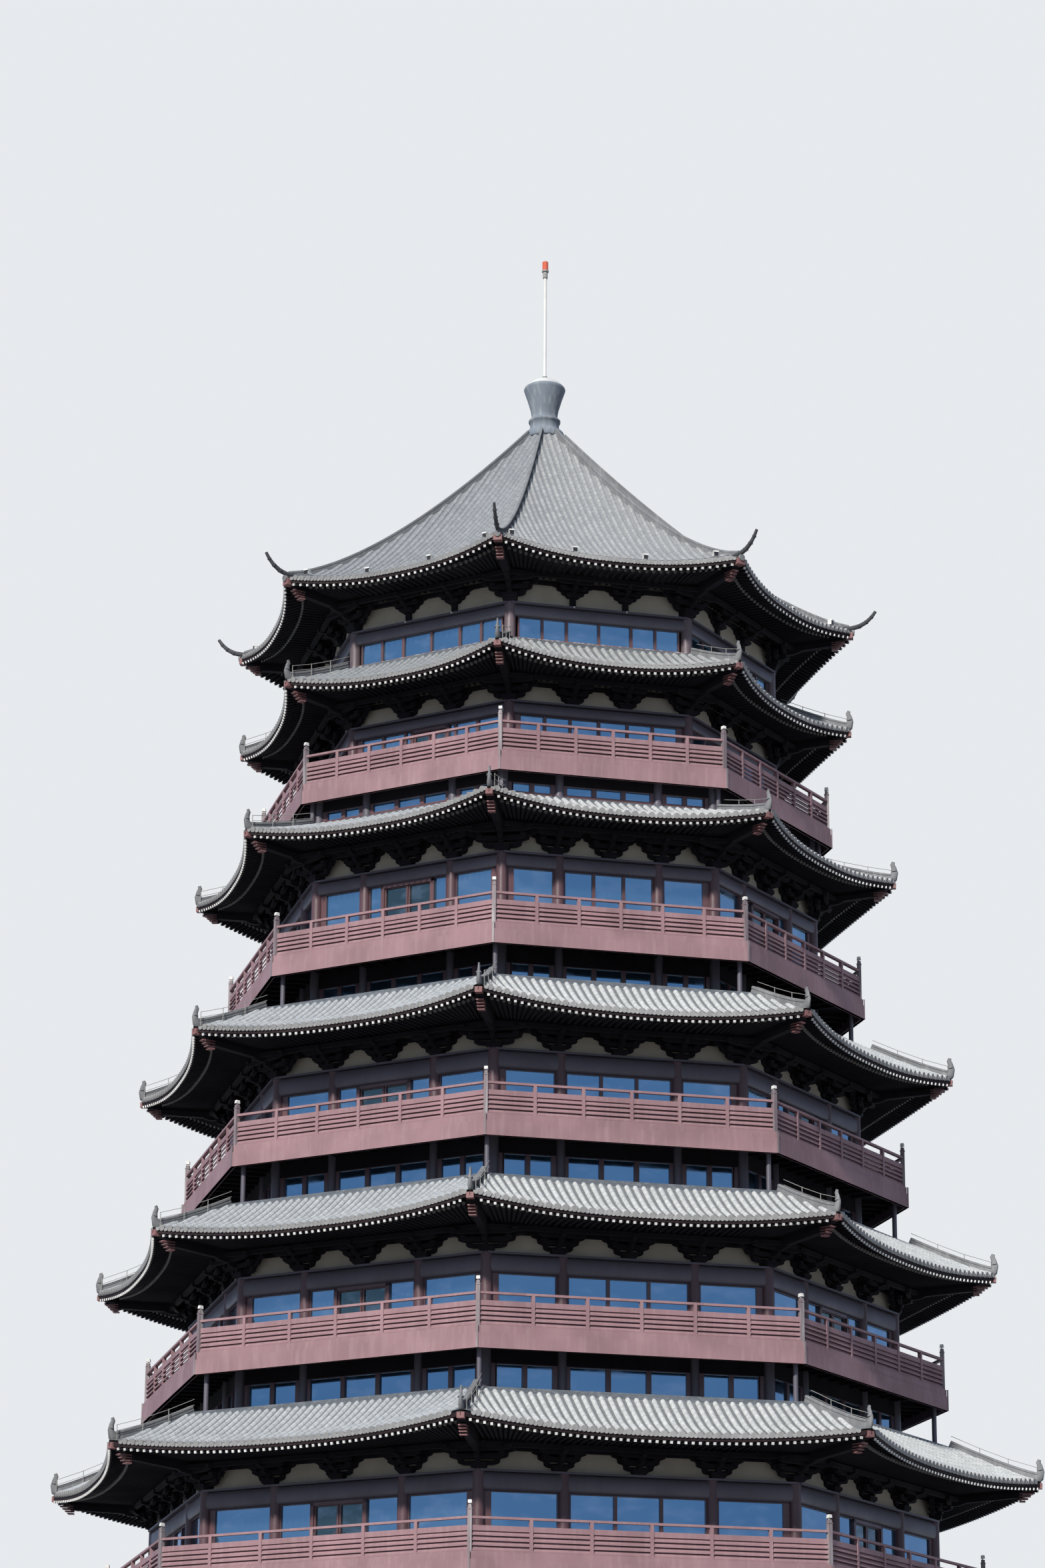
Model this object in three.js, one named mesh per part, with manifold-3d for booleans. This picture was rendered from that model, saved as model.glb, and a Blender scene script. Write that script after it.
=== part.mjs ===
// Eight-sided timber pagoda of seven storeys, the top one with two eaves, as a 1:2 scale model.
// Millimetres, +Z up, origin on the ground under the centre of the tower.
// Face 0 looks along +X, face j is turned 45 degrees times j about Z.
import * as THREE from 'three';
import { mergeVertices } from 'three/addons/utils/BufferGeometryUtils.js';
import Module from 'manifold-3d';

const wasm = await Module();
wasm.setup();

// The octagon
const SIDES = 8;
const TURN = (2 * Math.PI) / SIDES;
const APOTHEM = Math.cos(TURN / 2);
const HALF_TAN = Math.tan(TURN / 2);
const GAP = 0.3;
const LAP = 20;
const CUT_PAST = 50;

// Storeys from the ground up. radius is the circle of the corner columns, floor the walking level,
// beam the underside and top of the lintel beam, eave the corner of the eave over the storey (radius, level),
// ledge the top edge of that roof (radius, level) and tray the radius of the balcony.
const STOREYS = [
  { radius: 8640, floor: 800, beam: [2480, 2790], eave: [10950, 3380], ledge: [8815, 4260] },
  { radius: 7990, floor: 5100, beam: [6340, 6660], eave: [10100, 7250], ledge: [8165, 8160], tray: 8975 },
  { radius: 7340, floor: 9050, beam: [10190, 10515], eave: [9370, 11100], ledge: [7515, 11980], tray: 8325 },
  { radius: 6690, floor: 12950, beam: [14040, 14370], eave: [8640, 14950], ledge: [6865, 15810], tray: 7675 },
  { radius: 6040, floor: 16800, beam: [17840, 18175], eave: [7930, 18750], ledge: [6215, 19580], tray: 7025 },
  { radius: 5285, floor: 20495, beam: [21815, 22070], eave: [6940, 22700], ledge: [5290, 23275], tray: 6275 },
  { radius: 4535, floor: 23950, beam: [25035, 25255], eave: [6135, 25835], ledge: [4550, 26580], tray: 5710 },
];
const CROWN = { radius: 4535, beam: [26980, 27220], eave: [6210, 27890], window: [26610, 26960] };

// Walls, columns and beams
const WALL = 120;
const COLUMN_RADIUS = 115;
const WALL_SETBACK = 122;
const BEAM_HALF = 90;
const GLASS = 20;
const GLASS_SHORT = 2;
const CURB = 60;
const BAND_SILL = 60;
const BAND_HEAD = 50;
const SILL = 220;
const WINDOW_HEAD = 45;
const DOOR_HALF = 640;
const CORNER_PIER = 190;
const DOOR_FACES_ABOVE = [1, 3, 5, 7];
const DOOR_FACES_BELOW = [0, 2, 4, 6];

// Bracket sets
const BRACKET_WIDTH = 200;
const BRACKET_REACH = 340;
const CORNER_REACH = 520;

// Roof shells
const EAVE_RISE = 190;
const EAVE_FLARE = 270;
const EAVE_POWER = 2.4;
const EAVE_TOP = 120;
const EAVE_DROP = 60;
const RIDGE = 110;
const SKIRT_CURVE = 1.25;
const CROWN_CURVE = 1.4;
const SKIRT_KNEE = 0.55;
const CROWN_KNEES = [0.22, 0.46, 0.7, 0.9];
const CROWN_SOFFIT_KNEE = 0.35;
const EAVE_LEAN = 20;
const LEDGE_MARGIN = 15;
const SHELL = 170;
const CROWN_LEDGE = { apothem: 320, z: 32500, width: 90 };
const SKIRT_HORN = { out: 60, up: 420 };
const CROWN_HORN = { out: 430, up: 290 };
const FACE_STATIONS = [-0.94, -0.5, 0.5, 0.94, 1];

// Balconies
const TRAY_THICK = 150;
const FASCIA = { drop: 380, thick: 60 };
const RAIL = { inset: 90, top: 595, head: 800, post: 90, width: 50, panel: 430 };

// Plinth and steps
const PLINTH_RADIUS = 9900;
const STEP = { count: 10, rise: 80, going: 150, width: 2800, root: 100 };

// Finial and lightning pole
const FINIAL = { foot: 32500, pole: 33820, segments: 12 };
const POLE = { radius: 33, foot: 33750, top: 36250 };
const LAMP = { radius: 62, top: 36450 };

// Finishes
function finish(color, roughness, metalness = 0) {
  return new THREE.MeshStandardMaterial({ color, roughness, metalness });
}

const DARK_TIMBER = finish(0x241a18, 0.6);
const PLASTER = finish(0xb9ad92, 0.85);
const TILE = finish(0x6f757a, 0.8);
const RAIL_PAINT = finish(0x8d6460, 0.6);
const STONE = finish(0x9a968c, 0.9);
const GLAZING = finish(0x5f93c4, 0.1);
const METAL = finish(0xdfe3e4, 0.4, 0.6);
const LAMP_RED = finish(0xd8432a, 0.3);

const pagoda = new THREE.Group();

// Joins and cuts
function solid(geometry) {
  geometry.deleteAttribute('normal');
  geometry.deleteAttribute('uv');
  const merged = mergeVertices(geometry, 1e-3);
  const mesh = new wasm.Mesh({
    numProp: 3,
    vertProperties: new Float32Array(merged.attributes.position.array),
    triVerts: new Uint32Array(merged.index.array),
  });
  return new wasm.Manifold(mesh);
}

function geometryOf(body) {
  const mesh = body.getMesh();
  const geometry = new THREE.BufferGeometry();
  geometry.setAttribute('position', new THREE.BufferAttribute(new Float32Array(mesh.vertProperties), 3));
  geometry.setIndex(new THREE.BufferAttribute(new Uint32Array(mesh.triVerts), 1));
  return geometry;
}

function place(name, shape, material) {
  const geometry = shape.isBufferGeometry ? shape : geometryOf(shape);
  const mesh = new THREE.Mesh(geometry, material);
  mesh.name = name;
  pagoda.add(mesh);
}

function joined(bodies) {
  return bodies.reduce((sum, body) => sum.add(body));
}

// Octagon outlines and rings, given by the distance from the axis to a flat side
function octagon(apothem) {
  const radius = apothem / APOTHEM;
  const corners = [];
  for (let k = 0; k < SIDES; k += 1) {
    const angle = TURN * (k + 0.5);
    corners.push(new THREE.Vector2(radius * Math.cos(angle), radius * Math.sin(angle)));
  }
  return corners;
}

function prism(outer, low, high, inner = 0) {
  const shape = new THREE.Shape(octagon(outer));
  if (inner > 0) shape.holes.push(new THREE.Path(octagon(inner)));
  const geometry = new THREE.ExtrudeGeometry(shape, { depth: high - low, bevelEnabled: false });
  return solid(geometry.translate(0, 0, low));
}

// A block on face j: n runs outward from the axis, u runs along the face
function block(face, n, u, z) {
  const geometry = new THREE.BoxGeometry(n[1] - n[0], u[1] - u[0], z[1] - z[0]);
  geometry.translate((n[0] + n[1]) / 2, (u[0] + u[1]) / 2, (z[0] + z[1]) / 2);
  return solid(geometry.rotateZ(TURN * face));
}

function post(radius, sides, x, y, low, high) {
  const geometry = new THREE.CylinderGeometry(radius, radius, high - low, sides);
  geometry.rotateX(Math.PI / 2).translate(x, y, (low + high) / 2);
  return solid(geometry);
}

const columnApothem = (storey) => storey.radius * APOTHEM;
const wallFace = (storey) => columnApothem(storey) - WALL_SETBACK;
const faceWidth = (storey) => 2 * columnApothem(storey) * HALF_TAN;
const seatLevel = (storey) => storey.eave[1] - EAVE_RISE;

// Lintel beam on round columns, with the infill above it and the bracket sets that carry the eave
function bracketComb(storey, bracketsPerFace) {
  const outer = columnApothem(storey) + BEAM_HALF;
  const half = outer * HALF_TAN;
  const tooth = BRACKET_WIDTH / 2;
  const origin = new THREE.Vector2();
  const outline = [];
  for (let face = 0; face < SIDES; face += 1) {
    const tips = [-tooth, tooth].map((side) => new THREE.Vector2(storey.radius + CORNER_REACH, side));
    for (const tip of tips) tip.rotateAround(origin, -TURN / 2);
    const root = tooth / APOTHEM;
    const edge = [...tips, new THREE.Vector2(outer, root - half)];
    for (let k = 1; k <= bracketsPerFace; k += 1) {
      const u = (faceWidth(storey) / 2) * ((2 * k) / (bracketsPerFace + 1) - 1);
      edge.push(new THREE.Vector2(outer, u - tooth), new THREE.Vector2(outer + BRACKET_REACH, u - tooth));
      edge.push(new THREE.Vector2(outer + BRACKET_REACH, u + tooth), new THREE.Vector2(outer, u + tooth));
    }
    edge.push(new THREE.Vector2(outer, half - root));
    for (const point of edge) outline.push(point.rotateAround(origin, TURN * face));
  }
  const shape = new THREE.Shape(outline);
  shape.holes.push(new THREE.Path(octagon(outer - 2 * BEAM_HALF)));
  const [low, high] = [storey.beam[1], seatLevel(storey)];
  const geometry = new THREE.ExtrudeGeometry(shape, { depth: high - low, bevelEnabled: false });
  return solid(geometry.translate(0, 0, low));
}

function frame(storey, base, bracketsPerFace) {
  const apothem = columnApothem(storey);
  const parts = [prism(apothem + BEAM_HALF, storey.beam[0], storey.beam[1], apothem - BEAM_HALF)];
  for (let face = 0; face < SIDES; face += 1) {
    const corner = TURN * (face + 0.5);
    const [x, y] = [storey.radius * Math.cos(corner), storey.radius * Math.sin(corner)];
    parts.push(post(COLUMN_RADIUS, 8, x, y, base, storey.beam[0]));
  }
  parts.push(bracketComb(storey, bracketsPerFace));
  return joined(parts);
}

// Walls with their doors and windows cut through
function storeyOpenings(storey, doorFaces) {
  const half = faceWidth(storey) / 2 - CORNER_PIER;
  const outside = wallFace(storey);
  const depth = [outside - WALL - CUT_PAST, outside + CUT_PAST];
  const head = storey.beam[0] - WINDOW_HEAD;
  const cuts = [];
  for (let face = 0; face < SIDES; face += 1) {
    cuts.push(block(face, depth, [-half, half], [storey.floor + SILL, head]));
    if (doorFaces.includes(face)) {
      cuts.push(block(face, depth, [-DOOR_HALF, DOOR_HALF], [storey.floor - LAP, storey.floor + SILL + LAP]));
    }
  }
  return cuts;
}

function bandOpenings(storey, band) {
  const outside = wallFace(storey);
  const half = faceWidth(storey) / 2 - CORNER_PIER;
  const cuts = [];
  for (let face = 0; face < SIDES; face += 1) {
    cuts.push(block(face, [outside - WALL - CUT_PAST, outside + CUT_PAST], [-half, half], band));
  }
  return cuts;
}

function wall(storey, top, cuts) {
  const outside = wallFace(storey);
  const shell = prism(outside, storey.floor, top, outside - WALL);
  return shell.subtract(joined(cuts));
}

// Roof shells. A ring of stations runs round the eight faces, and each station has a closed outline
// of points [apothem, z]. Corner stations carry the hip ridge and its horn.
function roofShell(outlineAt) {
  const stations = [];
  for (let face = 0; face < SIDES; face += 1) {
    for (const s of FACE_STATIONS) stations.push({ face, s, outline: outlineAt(s) });
  }
  const points = stations[0].outline.length;
  const positions = [];
  const index = [];
  for (const { face, s, outline } of stations) {
    const [c, w] = [Math.cos(TURN * face), Math.sin(TURN * face)];
    for (const [n, z] of outline) {
      const u = s * n * HALF_TAN;
      positions.push(n * c - u * w, n * w + u * c, z);
    }
  }
  for (let i = 0; i < stations.length; i += 1) {
    const next = (i + 1) % stations.length;
    for (let k = 0; k < points; k += 1) {
      const step = (k + 1) % points;
      const [a, b] = [i * points + k, i * points + step];
      const [d, e] = [next * points + k, next * points + step];
      index.push(a, b, d, b, e, d);
    }
  }
  const geometry = new THREE.BufferGeometry();
  geometry.setAttribute('position', new THREE.Float32BufferAttribute(positions, 3));
  geometry.setIndex(index);
  return geometry;
}

function eaveAt(roof, s) {
  const lift = Math.abs(s) ** EAVE_POWER;
  const apothem = roof.eave[0] * APOTHEM - EAVE_FLARE * (1 - lift);
  return { apothem, level: roof.eave[1] - EAVE_RISE * (1 - lift) };
}

function slopePoint(eave, ledge, curve, t, ridge) {
  const apothem = ledge.apothem + (eave.apothem - ledge.apothem) * t;
  const drop = ledge.z - eave.level - EAVE_TOP;
  return [apothem, eave.level + EAVE_TOP + drop * (1 - t) ** curve + ridge];
}

function skirtRoof(storey, above, recessed) {
  const inner = recessed ? wallFace(above) - WALL - CURB : wallFace(storey) + GAP;
  const seat = seatLevel(storey);
  const ledge = { apothem: storey.ledge[0] * APOTHEM + COLUMN_RADIUS + LEDGE_MARGIN, z: storey.ledge[1] };
  const seatEdge = columnApothem(storey) + BEAM_HALF + BRACKET_REACH;
  return roofShell((s) => {
    const eave = eaveAt(storey, s);
    const corner = s === 1;
    const ridge = corner ? RIDGE : 0;
    const tip = corner ? SKIRT_HORN : { out: 0, up: 0 };
    const edge = eave.apothem + tip.out;
    return [
      [inner, ledge.z],
      [ledge.apothem, ledge.z],
      slopePoint(eave, ledge, SKIRT_CURVE, SKIRT_KNEE, ridge),
      [edge, eave.level + EAVE_TOP + tip.up],
      [eave.apothem - EAVE_LEAN, eave.level - EAVE_DROP],
      [seatEdge, seat],
      ...(recessed ? [[wallFace(storey) - WALL, seat], [inner, ledge.z - SHELL]] : [[inner, seat]]),
    ];
  });
}

function topRoof() {
  const seat = seatLevel(CROWN);
  const inner = wallFace(CROWN) - WALL;
  const seatEdge = columnApothem(CROWN) + BEAM_HALF + BRACKET_REACH;
  return roofShell((s) => {
    const eave = eaveAt(CROWN, s);
    const corner = s === 1;
    const ridge = corner ? RIDGE : 0;
    const tip = corner ? CROWN_HORN : { out: 0, up: 0 };
    const under = slopePoint(eave, CROWN_LEDGE, CROWN_CURVE, CROWN_SOFFIT_KNEE, -SHELL);
    return [
      [CROWN_LEDGE.apothem - CROWN_LEDGE.width, CROWN_LEDGE.z],
      [CROWN_LEDGE.apothem, CROWN_LEDGE.z],
      ...CROWN_KNEES.map((t) => slopePoint(eave, CROWN_LEDGE, CROWN_CURVE, t, ridge)),
      [eave.apothem + tip.out * APOTHEM, eave.level + EAVE_TOP + tip.up],
      [eave.apothem - EAVE_LEAN, eave.level - EAVE_DROP],
      [seatEdge, seat],
      [inner, seat],
      under,
      [CROWN_LEDGE.apothem - CROWN_LEDGE.width, CROWN_LEDGE.z - SHELL],
    ];
  });
}

// Balcony: the storey's floor with a fascia board hanging from its edge. Over a recess it stands on
// a low wall with a band of windows, set back above the ledge of the roof below.
function balcony(storey, below) {
  const edge = storey.tray * APOTHEM;
  const under = storey.floor - TRAY_THICK;
  const fascia = prism(edge, storey.floor - FASCIA.drop, under + LAP, edge - FASCIA.thick);
  const tray = prism(edge, under, storey.floor).add(fascia);
  if (!below) return tray;
  const outside = wallFace(storey);
  const ledge = below.ledge[1];
  const recess = prism(outside, ledge, under + LAP, outside - WALL);
  const band = [ledge + BAND_SILL, storey.floor - FASCIA.drop - BAND_HEAD];
  return tray.add(recess.subtract(joined(bandOpenings(storey, band))));
}

// Railing: a louvred panel, an open gap under the top rail, and taller posts at the corners
function railing(storey) {
  const line = storey.tray * APOTHEM - RAIL.inset;
  const thickness = [line - RAIL.width / 2, line + RAIL.width / 2];
  const level = storey.floor;
  const half = line * HALF_TAN - RAIL.post / 2;
  const fence = prism(thickness[1], level, level + RAIL.top, thickness[0]);
  const gaps = [];
  const heads = [];
  for (let face = 0; face < SIDES; face += 1) {
    const gap = [level + RAIL.panel, level + RAIL.top - RAIL.width];
    gaps.push(block(face, [thickness[0] - LAP, thickness[1] + LAP], [-half, half], gap));
    const corner = line / APOTHEM;
    const width = [-RAIL.post / 2, RAIL.post / 2];
    const depth = width.map((edge) => corner + edge);
    heads.push(block(face + 0.5, depth, width, [level + RAIL.top, level + RAIL.head]));
  }
  return joined([fence.subtract(joined(gaps)), ...heads]);
}

function glazing(storey, low, high, cuts = []) {
  const face = wallFace(storey) - WALL - GAP;
  const ring = prism(face, low, high, face - GLASS);
  return cuts.length ? ring.subtract(joined(cuts)) : ring;
}

function doorwayCuts(storey) {
  const outside = wallFace(storey);
  const depth = [outside - WALL - GLASS - CUT_PAST, outside];
  const level = [storey.floor - LAP, storey.beam[0] - WINDOW_HEAD];
  return DOOR_FACES_BELOW.map((face) => block(face, depth, [-DOOR_HALF, DOOR_HALF], level));
}

// Stone plinth with a flight of steps on four sides
function plinth(level) {
  const edge = PLINTH_RADIUS * APOTHEM;
  const run = STEP.count * STEP.going;
  const outline = [new THREE.Vector2(edge - STEP.root, 0), new THREE.Vector2(edge + run, 0)];
  for (let k = 1; k <= STEP.count; k += 1) {
    const n = edge + run - (k - 1) * STEP.going;
    outline.push(new THREE.Vector2(n, k * STEP.rise));
    outline.push(new THREE.Vector2(n - STEP.going, k * STEP.rise));
  }
  outline.pop();
  outline.push(new THREE.Vector2(edge - STEP.root, level));
  const parts = [prism(edge, 0, level)];
  for (const face of DOOR_FACES_BELOW) {
    const profile = new THREE.Shape(outline);
    const flight = new THREE.ExtrudeGeometry(profile, { depth: STEP.width, bevelEnabled: false });
    flight.rotateX(Math.PI / 2).translate(0, STEP.width / 2, 0).rotateZ(TURN * face);
    parts.push(solid(flight));
  }
  return joined(parts);
}

// Build from the ground up
place('plinth', plinth(STOREYS[0].floor), STONE);
const TOP = STOREYS.length;
STOREYS.forEach((storey, i) => {
  const number = i + 1;
  const [below, above] = [STOREYS[i - 1], STOREYS[i + 1]];
  const recessed = number < TOP - 1;
  const cuts = storeyOpenings(storey, number === 1 ? DOOR_FACES_BELOW : DOOR_FACES_ABOVE);
  let top = seatLevel(storey);
  if (number === TOP) {
    top = seatLevel(CROWN);
    cuts.push(...bandOpenings(storey, CROWN.window));
  } else if (!recessed) {
    top = above.floor - TRAY_THICK;
    cuts.push(...bandOpenings(storey, [storey.ledge[1] + BAND_SILL, above.floor - FASCIA.drop - BAND_HEAD]));
  }
  place(`wall_${number}`, wall(storey, top, cuts), PLASTER);
  const doorways = number === 1 ? doorwayCuts(storey) : [];
  place(`glass_${number}`, glazing(storey, storey.floor, top - GLASS_SHORT, doorways), GLAZING);
  place(`frame_${number}`, frame(storey, storey.floor, number === TOP ? 2 : 3), DARK_TIMBER);
  place(`roof_${number}`, skirtRoof(storey, above, recessed), TILE);
  if (number === 1) return;
  place(`balcony_${number}`, balcony(storey, number < TOP ? below : undefined), RAIL_PAINT);
  place(`railing_${number}`, railing(storey), RAIL_PAINT);
  if (number === TOP) return;
  const pane = glazing(storey, below.ledge[1], storey.floor - TRAY_THICK - GLASS_SHORT);
  place(`recess_glass_${number}`, pane, GLAZING);
});

place('crown_frame', frame(CROWN, STOREYS.at(-1).ledge[1], 2), DARK_TIMBER);
place('top_roof', topRoof(), TILE);

// Finial: a flared vase with a domed lid
const finialProfile = [
  [0, FINIAL.foot], [395, FINIAL.foot], [395, FINIAL.foot + 90], [310, FINIAL.foot + 150],
  [300, FINIAL.foot + 330], [325, FINIAL.foot + 350], [325, FINIAL.foot + 390], [262, FINIAL.foot + 420],
  [270, FINIAL.foot + 560], [425, FINIAL.foot + 1060], [400, FINIAL.foot + 1130], [290, FINIAL.foot + 1240],
  [130, FINIAL.foot + 1300], [0, FINIAL.pole],
].map(([r, z]) => new THREE.Vector2(r, z));
const finial = solid(new THREE.LatheGeometry(finialProfile, FINIAL.segments).rotateX(Math.PI / 2));
const socket = post(POLE.radius + GAP, 12, 0, 0, POLE.foot, FINIAL.pole + CUT_PAST);
place('finial', finial.subtract(socket), TILE);
place('lightning_pole', post(POLE.radius, 12, 0, 0, POLE.foot, POLE.top), METAL);
place('aviation_lamp', post(LAMP.radius, 12, 0, 0, POLE.top, LAMP.top), LAMP_RED);

export default pagoda;
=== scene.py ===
from math import copysign, cos, pi, radians, sin, tan

import bpy
import numpy as np
from mathutils import Matrix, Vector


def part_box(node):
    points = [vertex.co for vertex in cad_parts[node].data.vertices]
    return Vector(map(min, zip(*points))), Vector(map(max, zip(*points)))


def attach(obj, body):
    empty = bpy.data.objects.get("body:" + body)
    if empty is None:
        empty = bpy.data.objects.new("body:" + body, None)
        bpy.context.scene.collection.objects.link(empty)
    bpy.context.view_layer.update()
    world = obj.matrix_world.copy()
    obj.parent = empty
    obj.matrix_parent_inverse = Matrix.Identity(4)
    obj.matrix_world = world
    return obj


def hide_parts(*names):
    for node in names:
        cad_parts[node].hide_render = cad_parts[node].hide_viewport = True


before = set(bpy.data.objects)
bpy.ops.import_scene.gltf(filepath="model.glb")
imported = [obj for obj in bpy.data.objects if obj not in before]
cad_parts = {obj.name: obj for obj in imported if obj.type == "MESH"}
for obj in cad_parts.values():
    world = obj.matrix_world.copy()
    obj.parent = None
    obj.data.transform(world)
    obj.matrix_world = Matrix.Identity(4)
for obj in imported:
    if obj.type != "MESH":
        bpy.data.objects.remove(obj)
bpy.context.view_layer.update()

# The octagon
SIDES = 8
TURN = 2 * pi / SIDES
APOTHEM = cos(TURN / 2)
HALF_TAN = tan(TURN / 2)
FACES = [TURN * k for k in range(SIDES)]
CORNERS = [TURN * (k + 0.5) for k in range(SIDES)]
DOOR_FACES = FACES[1::2]
WINDOW_FACES = FACES[0::2]
ONCE = [0.0]

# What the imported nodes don't say: how walls and eaves were laid out there
WALL = 0.12
WALL_SETBACK = 0.122
CORNER_PIER = 0.19
SILL = 0.22
EAVE_RISE = 0.19
EAVE_SAG = 0.02
EAVE_FLARE = 0.27
EAVE_POWER = 2.4
EAVE_TOP = 0.12
EAVE_DROP = 0.06
FASCIA_DROP = 0.38
SKIRT = {"horn_out": 0.06, "curve": 1.25, "tile_pitch": 0.156, "tube": 0.048, "rafter_pitch": 0.126,
         "flashing": 0.15, "top_drop": 0.08}
CROWN = {"horn_out": 0.43 * APOTHEM, "curve": 1.4, "tile_pitch": 0.135, "tube": 0.044, "rafter_pitch": 0.137,
         "flashing": 0.0, "top_drop": 0.0}

# Tiles
STATIONS = np.linspace(-1, 1, 25)
TILE_LENGTH = 0.17
TILE_ARCH = 1.1
PAN_STEP = 0.045
DRIP = 0.062
DRIP_HALF = 0.045

# Ridge ends, as distances (out, up) from the top of the eave's corner, and their widths along the way
HORN = [(-0.5, 0.12), (-0.28, 0.06), (-0.06, 0.06), (0.11, 0.10), (0.25, 0.18), (0.36, 0.285), (0.44, 0.40)]
HORN_WIDTHS = [0.8, 0.85, 0.85, 0.8, 0.7, 0.6, 0.52]
FIN = [(-0.28, 0.05), (-0.16, 0.03), (-0.06, 0.08), (-0.03, 0.17), (-0.045, 0.27), (-0.07, 0.34),
       (-0.05, 0.39)]
FIN_WIDTHS = [1.1, 1.45, 1.35, 0.95, 0.7, 0.62, 0.45]
HOOK = [(-0.36, -0.02), (-0.38, 0.08), (-0.42, 0.15), (-0.40, 0.20)]
HOOK_WIDTHS = [0.8, 0.7, 0.5, 0.25]

# Timber under the eaves
RAFTER_WIDTH = 0.05
RAFTER_REACH = 0.42
RAFTER_DROP = 0.022
WHITE_TIP = 0.043
LOWER_SETBACK = 0.35
LOWER_RADIUS = 0.029
CORNER_BEAM = 0.13
ARM_STEP = 0.17

# Columns, windows and balconies
COLUMN = 0.108
COLUMN_FOOT = 0.125
LINTEL_BOARD = 0.035
BAY = 0.468
WINDOW_PROUD = 0.04
DECK = 0.15
RAIL_HEIGHT = 0.6

# The finial: vase and lid, as (radius, height over the foot)
VASE = [(0.30, -0.05), (0.385, -0.03), (0.395, 0.0), (0.395, 0.1), (0.37, 0.13), (0.31, 0.16),
        (0.297, 0.2), (0.297, 0.33), (0.322, 0.345), (0.325, 0.385), (0.30, 0.40), (0.268, 0.43),
        (0.266, 0.5), (0.285, 0.62), (0.355, 0.86), (0.418, 1.045), (0.424, 1.075), (0.405, 1.115),
        (0.33, 1.16)]
LID = [(0.40, 1.10), (0.375, 1.15), (0.31, 1.215), (0.21, 1.275), (0.1, 1.31), (0.04, 1.318)]

# Floor and key light: metres, degrees, and the level direction away from the light
FLOOR_HALF = 600.0
KEY_TILT = 58
KEY_TURN = -38
KEY_WIDTH = 3
KEY_ENERGY = 4.3
AWAY_FROM_KEY = (0.616, 0.788, 0.0)

# Camera as in the photograph: distance and height in metres, lens in millimetres, the rest in degrees
CAMERA = {"distance": 75.0, "height": 0.8, "side": 14.5, "pitch": 17.96, "left": 0.304, "roll": 0.397,
          "lens": 91.4}


# Shapes
def grid(rows, columns, ring=False, loop=False, turned=False):
    """Quads between rows of points. A ring closes each row, a loop joins the last row to the first."""
    quads = []
    for row in range(rows if loop else rows - 1):
        near = row * columns
        far = (row + 1) % rows * columns
        for a in range(columns if ring else columns - 1):
            b = (a + 1) % columns
            if turned:
                quads.append((near + a, far + a, far + b, near + b))
            else:
                quads.append((near + a, near + b, far + b, far + a))
    return quads


def both(start, end):
    """The spans from start to end on either side of the middle."""
    return (-end, -start), (start, end)


def oval(wide, high):
    return [(wide * cos(a), high * sin(a)) for a in FACES]


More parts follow.
